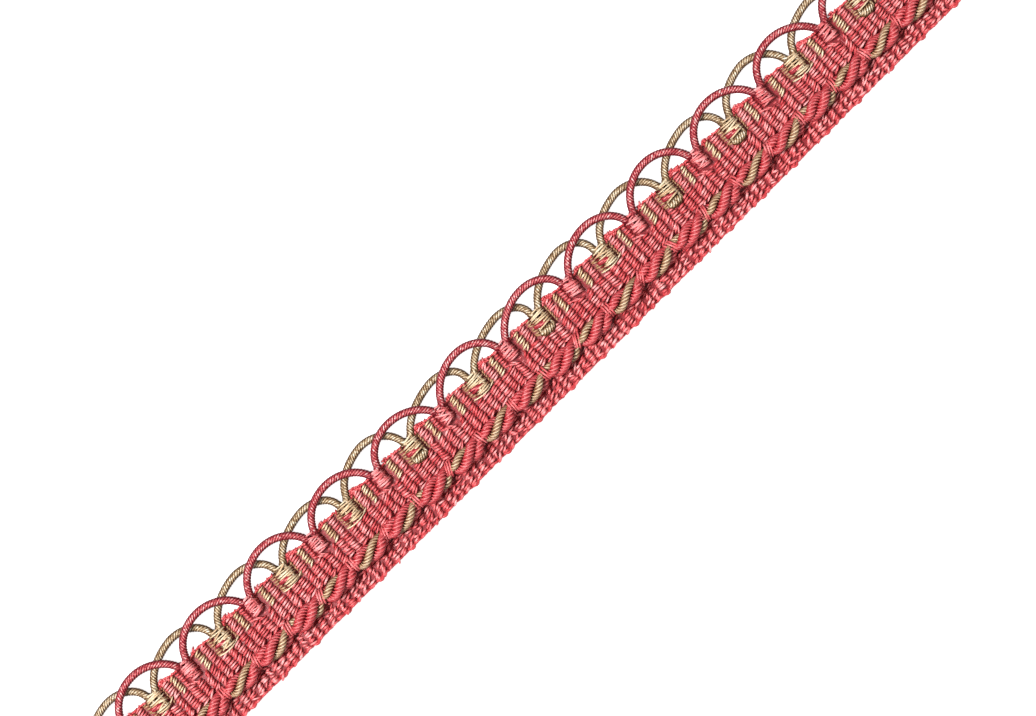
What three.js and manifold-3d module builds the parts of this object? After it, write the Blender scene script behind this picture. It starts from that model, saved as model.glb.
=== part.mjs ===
// A cut length of looped gimp braid, a furnishing trimming: a woven ground with a foot tape,
// two loop cords that stand out past one edge as overlapping scallops, and a three ply
// twisted cord couched along the band between the ribbed part and the foot tape.
// Millimetres. X runs along the band, +Y points to the loops, and the braid lies on z = 0.

import * as THREE from 'three';
import { mergeVertices } from 'three/addons/utils/BufferGeometryUtils.js';
import Module from 'manifold-3d';

const wasm = await Module();
wasm.setup();

// Overall sizes
const LENGTH = 180;
const OVERALL_WIDTH = 16;
const LOOP_RISE = 4.3;
const REPEATS = 14;
const PITCH = LENGTH / REPEATS;
const CLEARANCE = 0.3;

// Woven ground: a flat band, thickest in its ribbed part
const WEAVE_THICKNESS = 1.2;
const FOOT_THICKNESS = 1.0;
const EDGE_ROUND = 0.3;
const FOOT_LUMP_REACH = 0.2;
const LOOP_EDGE_Y = OVERALL_WIDTH / 2 - LOOP_RISE;
const FOOT_EDGE_Y = -OVERALL_WIDTH / 2 + FOOT_LUMP_REACH;

// Loop cords: thread-covered gimp, drawn in under the knots and out again as loops
const LOOP_CORD_DIAMETER = 1.2;
const LOOP_CORD_HALF_SIDES = 3;
const CREST_RISE = LOOP_RISE - LOOP_CORD_DIAMETER / 2;
const LEG_HALF_SPACING = 0.75;
const LEG_Z = 1.2;

// Twisted cord: three plies, laid in a trough of the ground
const TWISTED_CORD_RADIUS = 1.57;
const TWISTED_CORD_Y = -4.1;
const TWISTED_CORD_Z = 2.47;
const PLY_COUNT = 3;
const PLY_OFFSET = 0.8;
const LAY_LENGTH = PITCH * 2 / 3;
const STEPS_PER_LAY = 6;
const LOBE_SEGMENTS = 1;

// Knots: raised pads of floating warp over the two legs of a loop cord.
// turn_y is the lowest point of the cord's centre line, pad_end_y the pad's lower end.
const FIRST_PINK_KNOT_X = -LENGTH / 2 + PITCH / 4;
const KNOTS = {
  pink: { offset_x: 0, turn_y: 1.45, pad_end_y: 0.35 },
  beige: { offset_x: PITCH / 2 + 0.2, turn_y: 0.25, pad_end_y: 1.6 },
};
const PAD_HALF_WIDTH = 2.05;
const PAD_RISE = 1.6;
const PAD_BASE_Z = 1.0;
const PAD_SEGMENTS = 3;
const SLOT_SEGMENTS = 2;

// Arches: the ends of the two cubic curves of a loop and the pulls between them.
// x is measured from the knot the loop leaves, rise from the edge as a share of the crest's.
const ARCHES = {
  pink: [
    { x: 0.75, rise: 0.08, z: 1.2 },
    { x: 1.5, rise: 0.56, z: 2.8 },
    { x: 3.7, rise: 1, z: 2.4 },
    { x: 6.43, rise: 1, z: 2.3 },
    { x: 9.15, rise: 1, z: 2.4 },
    { x: 11.35, rise: 0.56, z: 2.8 },
    { x: 12.1, rise: 0.08, z: 1.2 },
  ],
  beige: [
    { x: 0.75, rise: 0.08, z: 1.2 },
    { x: 1.6, rise: 0.55, z: 0.62 },
    { x: 4.5, rise: 0.92, z: 0.62 },
    { x: 8.0, rise: 0.98, z: 0.68 },
    { x: 10.5, rise: 0.98, z: 0.62 },
    { x: 11.95, rise: 0.55, z: 0.62 },
    { x: 12.1, rise: 0.08, z: 1.2 },
  ],
};
const STEPS_PER_HALF_ARCH = 4;
const STEPS_PER_TURN = 3;

// Edge lumps: where a thread turns at the edge of the weave, twice in each repeat.
// x is measured from the pink knot, reach is how far a lump stands out past its edge.
const LUMP_RADIUS = 0.85;
const LUMP_SEGMENTS = 6;
const FOOT_LUMPS = [
  { x: 2.8, reach: FOOT_LUMP_REACH },
  { x: 9.2, reach: FOOT_LUMP_REACH },
];
const LOOP_EDGE_LUMPS = [
  { x: 2.0, reach: 0.3 },
  { x: 9.2, reach: 0.7 },
];

const X = new THREE.Vector3(1, 0, 0);
const Y = new THREE.Vector3(0, 1, 0);
const Z = new THREE.Vector3(0, 0, 1);

// Turns a section drawn in y and z, and run to full length, so that it lies along x
function turnAlongBand(geometry) {
  geometry.applyMatrix4(new THREE.Matrix4().makeBasis(Y, Z, X));
  return geometry.translate(-LENGTH / 2, 0, 0);
}

// A section drawn in x and z, run across the band from startY down to endY
function runAcrossBand(shape, startY, endY, curveSegments) {
  const geometry = new THREE.ExtrudeGeometry(shape, {
    depth: startY - endY, bevelEnabled: false, curveSegments,
  });
  geometry.applyMatrix4(new THREE.Matrix4().makeBasis(X, Z, Y.clone().negate()));
  return geometry.translate(0, startY, 0);
}

function toSolid(geometry) {
  const bare = geometry.clone();
  bare.deleteAttribute('normal');
  bare.deleteAttribute('uv');
  const merged = mergeVertices(bare);
  return new wasm.Manifold(new wasm.Mesh({
    numProp: 3,
    vertProperties: new Float32Array(merged.attributes.position.array),
    triVerts: new Uint32Array(merged.index.array),
  }));
}

function toGeometry(solid) {
  const mesh = solid.getMesh();
  const geometry = new THREE.BufferGeometry();
  geometry.setAttribute('position', new THREE.BufferAttribute(mesh.vertProperties, mesh.numProp));
  geometry.setIndex(new THREE.BufferAttribute(mesh.triVerts, 1));
  geometry.computeVertexNormals();
  return geometry;
}

function knotX(colour, index) {
  return FIRST_PINK_KNOT_X + KNOTS[colour].offset_x + index * PITCH;
}

// The flat band: level underside, rounded edges and a trough for the twisted cord
function groundBand() {
  const troughRadius = TWISTED_CORD_RADIUS + CLEARANCE;
  const troughAngle = Math.asin((TWISTED_CORD_Z - WEAVE_THICKNESS) / troughRadius);
  const footSide = Math.PI + troughAngle;
  const loopSide = 2 * Math.PI - troughAngle;
  const section = new THREE.Shape();
  section.moveTo(FOOT_EDGE_Y, 0);
  section.lineTo(LOOP_EDGE_Y, 0);
  section.lineTo(LOOP_EDGE_Y, WEAVE_THICKNESS - EDGE_ROUND);
  section.lineTo(LOOP_EDGE_Y - EDGE_ROUND, WEAVE_THICKNESS);
  section.absarc(TWISTED_CORD_Y, TWISTED_CORD_Z, troughRadius, loopSide, footSide, true);
  section.lineTo(FOOT_EDGE_Y + EDGE_ROUND, FOOT_THICKNESS);
  section.lineTo(FOOT_EDGE_Y, FOOT_THICKNESS - EDGE_ROUND);
  section.closePath();
  return toSolid(turnAlongBand(new THREE.ExtrudeGeometry(section, {
    depth: LENGTH, steps: 1, bevelEnabled: false, curveSegments: PAD_SEGMENTS,
  })));
}

function edgeLumps(rows, edgeY, outward, height) {
  const lumps = [];
  for (let index = 0; index < REPEATS; index += 1) {
    for (const { x, reach } of rows) {
      const centreX = knotX('pink', index) + x;
      if (centreX + LUMP_RADIUS < LENGTH / 2) {
        const lump = new THREE.CylinderGeometry(LUMP_RADIUS, LUMP_RADIUS, height, LUMP_SEGMENTS);
        const centreY = edgeY + outward * (reach - LUMP_RADIUS);
        lumps.push(toSolid(lump.rotateX(Math.PI / 2).translate(centreX, centreY, height / 2)));
      }
    }
  }
  return lumps;
}

// The arched pad of warp floats that binds the legs of a loop cord
function knotPad(x, padEndY) {
  const section = new THREE.Shape();
  section.absellipse(0, PAD_BASE_Z, PAD_HALF_WIDTH, PAD_RISE, 0, Math.PI, false);
  section.closePath();
  const pad = runAcrossBand(section, LOOP_EDGE_Y, padEndY, PAD_SEGMENTS);
  return toSolid(pad.translate(x, 0, 0));
}

// The way through a pad: a slot with round sides that clears both legs and their turn
function knotSlot(x, turnY) {
  const facetHalfAngle = Math.PI / (4 * SLOT_SEGMENTS);
  const reach = (LOOP_CORD_DIAMETER / 2 + CLEARANCE) / Math.cos(facetHalfAngle);
  const section = new THREE.Shape();
  section.absarc(LEG_HALF_SPACING, LEG_Z, reach, -Math.PI / 2, Math.PI / 2, false);
  section.absarc(-LEG_HALF_SPACING, LEG_Z, reach, Math.PI / 2, Math.PI * 3 / 2, false);
  section.closePath();
  const slot = runAcrossBand(section, LOOP_EDGE_Y + reach, turnY - reach, SLOT_SEGMENTS);
  return toSolid(slot.translate(x, 0, 0));
}

function groundBraid() {
  let ground = groundBand();
  const lumps = [
    ...edgeLumps(FOOT_LUMPS, FOOT_EDGE_Y, -1, FOOT_THICKNESS - EDGE_ROUND),
    ...edgeLumps(LOOP_EDGE_LUMPS, LOOP_EDGE_Y, 1, WEAVE_THICKNESS - EDGE_ROUND),
  ];
  for (const lump of lumps) {
    ground = ground.add(lump);
  }
  for (const [colour, knot] of Object.entries(KNOTS)) {
    for (let index = 0; index < REPEATS; index += 1) {
      ground = ground.add(knotPad(knotX(colour, index), knot.pad_end_y));
      ground = ground.subtract(knotSlot(knotX(colour, index), knot.turn_y));
    }
  }
  return toGeometry(ground);
}

// A smooth route through stations that are set closer together where the cord bends most
class CordRoute extends THREE.CatmullRomCurve3 {
  getUtoTmapping(u) {
    return u;
  }
}

// The half circle that joins the two legs under a knot
function turnStations(x, turnY) {
  const stations = [];
  const centreY = turnY + LEG_HALF_SPACING;
  for (let step = 0; step <= STEPS_PER_TURN; step += 1) {
    const angle = Math.PI * (1 + step / STEPS_PER_TURN);
    stations.push(new THREE.Vector3(
      x + LEG_HALF_SPACING * Math.cos(angle),
      centreY + LEG_HALF_SPACING * Math.sin(angle),
      LEG_Z,
    ));
  }
  return stations;
}

function archStations(x, rows) {
  const points = rows.map((row) => new THREE.Vector3(
    x + row.x, LOOP_EDGE_Y + row.rise * CREST_RISE, row.z,
  ));
  const rising = new THREE.CubicBezierCurve3(...points.slice(0, 4));
  const falling = new THREE.CubicBezierCurve3(...points.slice(3, 7));
  return [
    ...rising.getPoints(STEPS_PER_HALF_ARCH),
    ...falling.getPoints(STEPS_PER_HALF_ARCH).slice(1),
  ];
}

// A loop cord starts and ends as a leg cut level with the woven edge
function loopCord(colour) {
  const firstX = knotX(colour, 0) - LEG_HALF_SPACING;
  const lastX = knotX(colour, REPEATS - 1) + LEG_HALF_SPACING;
  const stations = [new THREE.Vector3(firstX, LOOP_EDGE_Y, LEG_Z)];
  for (let index = 0; index < REPEATS; index += 1) {
    stations.push(...turnStations(knotX(colour, index), KNOTS[colour].turn_y));
    if (index < REPEATS - 1) {
      stations.push(...archStations(knotX(colour, index), ARCHES[colour]));
    }
  }
  stations.push(new THREE.Vector3(lastX, LOOP_EDGE_Y, LEG_Z));
  const section = new THREE.Shape();
  section.absarc(0, 0, LOOP_CORD_DIAMETER / 2, 0, 2 * Math.PI, false);
  return new THREE.ExtrudeGeometry(section, {
    steps: stations.length - 1,
    curveSegments: LOOP_CORD_HALF_SIDES,
    extrudePath: new CordRoute(stations),
  });
}

// Three round lobes turned about their common axis once in each lay length. Seen from
// above, a ply climbs towards the loops as it runs along +X.
function twistedCord() {
  const plyRadius = TWISTED_CORD_RADIUS - PLY_OFFSET;
  const halfLobe = Math.PI / PLY_COUNT + Math.PI / 12;
  const section = new THREE.Shape();
  for (let ply = 0; ply < PLY_COUNT; ply += 1) {
    const angle = 2 * Math.PI * ply / PLY_COUNT;
    section.absarc(
      PLY_OFFSET * Math.cos(angle), PLY_OFFSET * Math.sin(angle), plyRadius,
      angle - halfLobe, angle + halfLobe, false,
    );
  }
  section.closePath();
  const steps = Math.round(LENGTH / LAY_LENGTH * STEPS_PER_LAY);
  const cord = new THREE.ExtrudeGeometry(section, {
    depth: LENGTH, steps, bevelEnabled: false, curveSegments: LOBE_SEGMENTS,
  });
  const position = cord.attributes.position;
  for (let vertex = 0; vertex < position.count; vertex += 1) {
    const turn = -2 * Math.PI * position.getZ(vertex) / LAY_LENGTH;
    const point = new THREE.Vector3().fromBufferAttribute(position, vertex);
    point.applyAxisAngle(Z, turn);
    position.setXYZ(vertex, point.x, point.y, point.z);
  }
  cord.computeVertexNormals();
  return turnAlongBand(cord).translate(0, TWISTED_CORD_Y, TWISTED_CORD_Z);
}

function piece(name, geometry, color, roughness) {
  const material = new THREE.MeshStandardMaterial({ color, roughness, metalness: 0 });
  const mesh = new THREE.Mesh(geometry, material);
  mesh.name = name;
  return mesh;
}

const ROSE = 0xc75a60;
const DEEP_ROSE = 0xb64b54;
const SAND = 0xb49a74;

const braid = new THREE.Group();
braid.add(piece('ground_braid', groundBraid(), ROSE, 0.7));
braid.add(piece('pink_loop_cord', loopCord('pink'), DEEP_ROSE, 0.55));
braid.add(piece('beige_loop_cord', loopCord('beige'), SAND, 0.55));
braid.add(piece('twisted_cord', twistedCord(), ROSE, 0.6));

export default braid;
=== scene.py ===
# %% [markdown]
# # Looped gimp braid, thread by thread
#
# The real thing is a furnishing trimming, 16 mm wide. A narrow loom weaves its ground out of
# pink silky thread over thick cross ribs. Two thread-covered cords, one rose and one sand, run
# along one edge and are bound down under knots of floating thread, and between the knots they
# stand out as overlapping loops. Near the other edge lies a three ply twisted cord, tied down
# twice in each repeat, and past it a narrow foot for sewing.
#
# Every visible stroke on such a braid is one piece of thread. So this lesson makes threads: short
# floats for the weave, cords wound with thread, and single strands for knots and ties. All sizes
# are millimetres in the tables and become metres as the meshes are made.

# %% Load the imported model
import math
import random

import bpy
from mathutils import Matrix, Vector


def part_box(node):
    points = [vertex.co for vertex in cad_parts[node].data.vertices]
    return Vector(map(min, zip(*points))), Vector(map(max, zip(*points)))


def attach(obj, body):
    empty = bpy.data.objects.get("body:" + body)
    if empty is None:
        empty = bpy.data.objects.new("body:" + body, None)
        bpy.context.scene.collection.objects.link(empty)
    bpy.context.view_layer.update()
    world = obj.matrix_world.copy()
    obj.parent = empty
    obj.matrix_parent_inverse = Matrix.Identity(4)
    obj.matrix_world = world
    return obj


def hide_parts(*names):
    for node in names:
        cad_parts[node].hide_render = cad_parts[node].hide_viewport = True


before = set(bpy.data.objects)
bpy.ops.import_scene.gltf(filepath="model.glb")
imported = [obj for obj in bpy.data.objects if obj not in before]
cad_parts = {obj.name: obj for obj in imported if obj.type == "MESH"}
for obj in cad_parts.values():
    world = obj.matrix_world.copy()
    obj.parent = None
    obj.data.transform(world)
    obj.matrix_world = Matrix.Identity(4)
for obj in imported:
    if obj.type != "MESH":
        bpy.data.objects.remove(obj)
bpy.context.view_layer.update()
MM = 0.001
BODY = "root"
ground_low, ground_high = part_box("ground_braid")
LENGTH = (ground_high[0] - ground_low[0]) / MM
print("length of the braid", round(LENGTH, 2), "mm")

# %% [markdown]
# ## Camera, floor and light
#
# The braid is seen from straight above, and it crosses the picture from corner to corner. It
# could be modelled turned by 45 degrees, but a part is easier to reuse when it lies along X. So
# the camera is turned instead. A long lens keeps the picture free of perspective.

# %% Camera
PICTURE_WIDTH_MM = 148.0
LENS_MM = 100.0
SENSOR_MM = 36.0
CAMERA_AIM = (3.443, 0.714)
CAMERA_ROLL = math.radians(-45)

camera_data = bpy.data.cameras.new("camera")
camera_data.lens = LENS_MM
camera_data.sensor_width = SENSOR_MM
camera = bpy.data.objects.new("camera", camera_data)
camera_height = PICTURE_WIDTH_MM * LENS_MM / SENSOR_MM
camera.location = (CAMERA_AIM[0] * MM, CAMERA_AIM[1] * MM, camera_height * MM)
camera.rotation_euler = (0, 0, CAMERA_ROLL)
bpy.context.scene.collection.objects.link(camera)
bpy.context.scene.camera = camera
print("camera stands", round(camera_height), "mm above the floor")

# %% [markdown]
# The floor is a plain sheet of pale card. A studio would light the card by itself until it comes
# out white, which takes a second set of lamps. A little glow in its material does the same here,
# and leaves the lamps free for the braid. The braid has one soft key lamp at the left of the
# picture, a weak fill lamp at the right and a pale sky over both.

# %% Floor
FLOOR_SIZE = 6.0
FLOOR_COLOUR = (0.56, 0.557, 0.55, 1)
FLOOR_GLOW = 0.88

floor_mesh = bpy.data.meshes.new("floor")
half_floor = FLOOR_SIZE / 2
floor_mesh.from_pydata(
    [(-half_floor, -half_floor, 0), (half_floor, -half_floor, 0),
     (half_floor, half_floor, 0), (-half_floor, half_floor, 0)], [], [(0, 1, 2, 3)])
floor = bpy.data.objects.new("floor", floor_mesh)
bpy.context.scene.collection.objects.link(floor)
floor_material = bpy.data.materials.new("pale floor")
floor_material.use_nodes = True
floor_shader = floor_material.node_tree.nodes["Principled BSDF"]
floor_shader.inputs["Base Color"].default_value = FLOOR_COLOUR
floor_shader.inputs["Roughness"].default_value = 0.9
floor_shader.inputs["Specular IOR Level"].default_value = 0.1
floor_shader.inputs["Emission Color"].default_value = (1, 1, 1, 1)
floor_shader.inputs["Emission Strength"].default_value = FLOOR_GLOW
floor_mesh.materials.append(floor_material)
print("floor", FLOOR_SIZE, "m across")

# %% Light
KEY_WATTS = 18.8
KEY_SIZE = 0.3
KEY_PLACE = (-0.54, 0.34, 0.95)
FILL_WATTS = 3.0
FILL_SIZE = 1.2
FILL_PLACE = (0.5, -0.6, 1.1)
SKY_STRENGTH = 0.3


def soft_light(name, watts, size, place):
    """A square lamp, in metres, that looks at the middle of the braid."""
    data = bpy.data.lights.new(name, "AREA")
    data.energy = watts
    data.size = size
    light = bpy.data.objects.new(name, data)
    light.location = place
    toward_braid = -light.location
    light.rotation_euler = toward_braid.to_track_quat("-Z", "Y").to_euler()
    bpy.context.scene.collection.objects.link(light)


soft_light("key light", KEY_WATTS, KEY_SIZE, KEY_PLACE)
soft_light("fill light", FILL_WATTS, FILL_SIZE, FILL_PLACE)
sky = bpy.data.worlds.new("pale sky")
sky.use_nodes = True
sky.node_tree.nodes["Background"].inputs["Color"].default_value = (1, 1, 1, 1)
sky.node_tree.nodes["Background"].inputs["Strength"].default_value = SKY_STRENGTH
bpy.context.scene.world = sky
bpy.context.scene.view_settings.view_transform = "Standard"
print("lights", [light.name for light in bpy.data.lights])

# %% [markdown]
# ## Silky thread
#
# The thread is a smooth rayon with a soft gloss. Two yarns are dyed, rose and sand, and each piece
# of thread takes the dye a little differently. An image could hold that, but the threads are real
# geometry here, so two numbers carried on the mesh do it better. `tone` shifts the colour of one
# thread: mostly its dye, and in a few places a painted shade. The second number is painted light
# and shade: it is 1 on the back of a thread and falls to 0 in the groove beside it, on the steep
# sides of a cord and at the ends of a float, where neighbouring threads shade each other, and there
# the colour is mixed towards a painted groove shade.

# %% Node helpers
def put(nodes, kind, inputs=(), **settings):
    """Adds a node. Each input is given by name or number, as a value or as another socket."""
    node = nodes.nodes.new(kind)
    node.location = (190 * (len(nodes.nodes) % 12), -260 * (len(nodes.nodes) // 12))
    for name, value in settings.items():
        setattr(node, name, value)
    for key, value in dict(inputs).items():
        if isinstance(value, bpy.types.NodeSocket):
            nodes.links.new(value, node.inputs[key])
        else:
            node.inputs[key].default_value = value
    return node


def sum_of(nodes, operation, first, second=0.0, third=0.0):
    """One step of arithmetic, as a Math node's output socket."""
    kind = "ShaderNodeMath"
    return put(nodes, kind, {0: first, 1: second, 2: third}, operation=operation).outputs[0]


# %% Thread material
FIBRE_SPACING = 0.05 * MM
FIBRE_DEPTH = 0.012 * MM
PATCH_SIZE = 1 / 0.9
PATCH_STRENGTH = 0.7
TONE_SHARE = 0.5
PAINTED_LIGHT_SHARE = 0.5
LOWEST_LEVEL = 0.12
ROUGHNESS = 0.4
GLOSS_SPREAD = 0.2


def thread_material(name, groove_shade, shade, body, light, speckle_and_glint, speck_size, shine=0.45):
    """A dyed silky thread, from the painted shade in its grooves to the colour of its palest, best
    lit lengths.

    The speckle says how strongly the colour breaks into paler and darker dashes: uneven dye, and on
    the gimp cords painted highlights. The speck size says how long they are in millimetres.
    """
    material = bpy.data.materials.new(name)
    material.use_nodes = True
    nodes = material.node_tree
    shader = nodes.nodes["Principled BSDF"]
    tone = put(nodes, "ShaderNodeAttribute", attribute_name="tone").outputs["Fac"]
    painted_light = put(nodes, "ShaderNodeAttribute", attribute_name="painted_light").outputs["Fac"]
    place = put(nodes, "ShaderNodeTexCoord").outputs["Object"]
    patches = put(nodes, "ShaderNodeTexNoise", {
        "Vector": place, "Scale": 1 / (PATCH_SIZE * MM), "Detail": 2.0})
    specks = put(nodes, "ShaderNodeTexNoise", {
        "Vector": place, "Scale": 1 / (speck_size * MM), "Detail": 3.0})
    patchy = sum_of(
        nodes, "MULTIPLY_ADD", patches.outputs["Fac"], PATCH_STRENGTH, -0.5 * PATCH_STRENGTH)
    specky = sum_of(nodes, "MULTIPLY_ADD", specks.outputs["Fac"], speckle_and_glint, -0.5 * speckle_and_glint)
    uneven = sum_of(nodes, "ADD", patchy, specky)
    # Painted light and shade: lit backs of threads reach the paler colours, and grooves and steep
    # sides are mixed towards the groove shade.
    painted_light_level = sum_of(nodes, "MULTIPLY_ADD", painted_light, PAINTED_LIGHT_SHARE, LOWEST_LEVEL)
    toned = sum_of(nodes, "MULTIPLY_ADD", tone, TONE_SHARE, painted_light_level)
    level = sum_of(nodes, "ADD", toned, uneven)
    dye_and_shading = put(nodes, "ShaderNodeValToRGB", {"Fac": level})
    dye_and_shading.color_ramp.elements[0].color = shade
    dye_and_shading.color_ramp.elements[1].color = light
    dye_and_shading.color_ramp.elements.new(0.5).color = body
    groove_shade_share = sum_of(nodes, "SUBTRACT", 1.0, painted_light)
    mixed = put(nodes, "ShaderNodeMix", {"Factor": groove_shade_share}, data_type="RGBA")
    nodes.links.new(dye_and_shading.outputs["Color"], mixed.inputs["A"])
    mixed.inputs["B"].default_value = groove_shade
    nodes.links.new(mixed.outputs["Result"], shader.inputs["Base Color"])
    fibres = put(nodes, "ShaderNodeTexNoise", {"Scale": 1 / FIBRE_SPACING, "Vector": place})
    bump = put(nodes, "ShaderNodeBump", {"Height": fibres.outputs["Fac"], "Distance": FIBRE_DEPTH})
    nodes.links.new(bump.outputs["Normal"], shader.inputs["Normal"])
    gloss = sum_of(
        nodes, "MULTIPLY_ADD", specks.outputs["Fac"], GLOSS_SPREAD, ROUGHNESS - 0.5 * GLOSS_SPREAD)
    nodes.links.new(gloss, shader.inputs["Roughness"])
    shader.inputs["Sheen Weight"].default_value = 0.04
    shader.inputs["Sheen Roughness"].default_value = 0.4
    shader.inputs["Specular IOR Level"].default_value = shine
    return material


rose = thread_material(
    "rose thread", groove_shade=(0.36, 0.016, 0.024, 1), shade=(0.60, 0.060, 0.068, 1),
    body=(0.87, 0.183, 0.188, 1), light=(0.98, 0.46, 0.45, 1), speckle_and_glint=1.1, speck_size=0.22)
# A darker copy of the rose thread, for the slab: painted shade of the ground seen between floats.
rose_ground_shade = thread_material(
    "rose ground shade", groove_shade=(0.24, 0.010, 0.016, 1), shade=(0.30, 0.02, 0.028, 1),
    body=(0.6, 0.12, 0.13, 1), light=(0.8, 0.25, 0.25, 1), speckle_and_glint=1.0, speck_size=0.22)
# On the two gimp cords the strong specks and the near-white palest colour paint highlight dashes,
# and the real gloss is set low.
rose_gimp = thread_material(
    "rose gimp", groove_shade=(0.15, 0.004, 0.012, 1), shade=(0.34, 0.024, 0.034, 1),
    body=(0.86, 0.17, 0.178, 1), light=(1.0, 0.75, 0.72, 1), speckle_and_glint=3.0, speck_size=0.34,
    shine=0.2)
sand = thread_material(
    "sand thread", groove_shade=(0.19, 0.075, 0.032, 1), shade=(0.46, 0.25, 0.13, 1),
    body=(0.82, 0.565, 0.33, 1), light=(0.99, 0.86, 0.60, 1), speckle_and_glint=1.4, speck_size=0.24)
sand_gimp = thread_material(
    "sand gimp", groove_shade=(0.085, 0.040, 0.014, 1), shade=(0.27, 0.15, 0.065, 1),
    body=(0.84, 0.62, 0.38, 1), light=(1.0, 0.97, 0.80, 1), speckle_and_glint=3.1, speck_size=0.34,
    shine=0.2)
print("threads", [material.name for material in bpy.data.materials])

# %% [markdown]
# ## Two ways to grow thread
#
# The weave shows thousands of short floats, each a thread that comes up over one rib and dives
# down again. They could be a bump texture, but then the edges of the braid would be straight and
# the light would not catch their backs. Here Geometry Nodes set one bent leaf of thread on every
# point of a host mesh, and numbers on the points turn and stretch it.

# %% Start of a node tree
FLOAT = "NodeSocketFloat"
WHOLE = "NodeSocketInt"


def new_tree(name, sizes):
    """An empty tree with a geometry input, named sizes and a material input."""
    tree = bpy.data.node_groups.new(name, "GeometryNodeTree")
    tree.interface.new_socket("Host", in_out="INPUT", socket_type="NodeSocketGeometry")
    for size, (kind, value) in sizes.items():
        socket = tree.interface.new_socket(size, in_out="INPUT", socket_type=kind)
        socket.default_value = value
    tree.interface.new_socket("Thread", in_out="INPUT", socket_type="NodeSocketMaterial")
    tree.interface.new_socket("Made", in_out="OUTPUT", socket_type="NodeSocketGeometry")
    return tree, put(tree, "NodeGroupInput").outputs


def end_tree(tree, geometry, given, upright):
    """Realizes the instances, smooths the faces, paints shade on the steep sides and gives them
    their thread.
    """
    real = put(tree, "GeometryNodeRealizeInstances", {0: geometry}).outputs[0]
    smooth = put(tree, "GeometryNodeSetShadeSmooth", {0: real}).outputs[0]
    # Painted shade: steep sides lose their lit colour, more so with a larger side shade.
    slant = sum_of(tree, "SUBTRACT", 1.0, sum_of(tree, "ABSOLUTE", upright))
    lost = sum_of(tree, "MULTIPLY", slant, given["Side Shade"])
    light = sum_of(tree, "MAXIMUM", 0.0, sum_of(tree, "SUBTRACT", 1.0, lost))
    painted_light = sum_of(tree, "MULTIPLY", carried(tree, "painted_light"), light)
    shaded = keep(tree, smooth, "painted_light", painted_light)
    dyed = put(tree, "GeometryNodeSetMaterial", {0: shaded, "Material": given["Thread"]})
    put(tree, "NodeGroupOutput", {0: dyed.outputs[0]})


def carried(tree, name):
    """A number that the host mesh carries on its points."""
    return put(tree, "GeometryNodeInputNamedAttribute", {"Name": name}).outputs["Attribute"]


def height_of(tree, kind):
    """The upward part of the position or the normal."""
    return put(tree, "ShaderNodeSeparateXYZ", {0: put(tree, kind).outputs[0]}).outputs["Z"]


def keep(tree, geometry, name, value, domain="POINT"):
    """Writes a number onto the geometry for the material to read."""
    kind = "GeometryNodeStoreNamedAttribute"
    return put(tree, kind, {0: geometry, "Name": name, "Value": value}, domain=domain).outputs[0]


# %% Tree for floats
CROWN_PLACE = 0.4
END_SHADE = 0.5
UNEVEN = {
    "lean": {"seed": 11, "reach": 0.9}, "reach": {"seed": 23, "reach": 1.0},
    "girth": {"seed": 37, "reach": 0.9}, "tone": {"seed": 51, "reach": 4.0},
}


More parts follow.
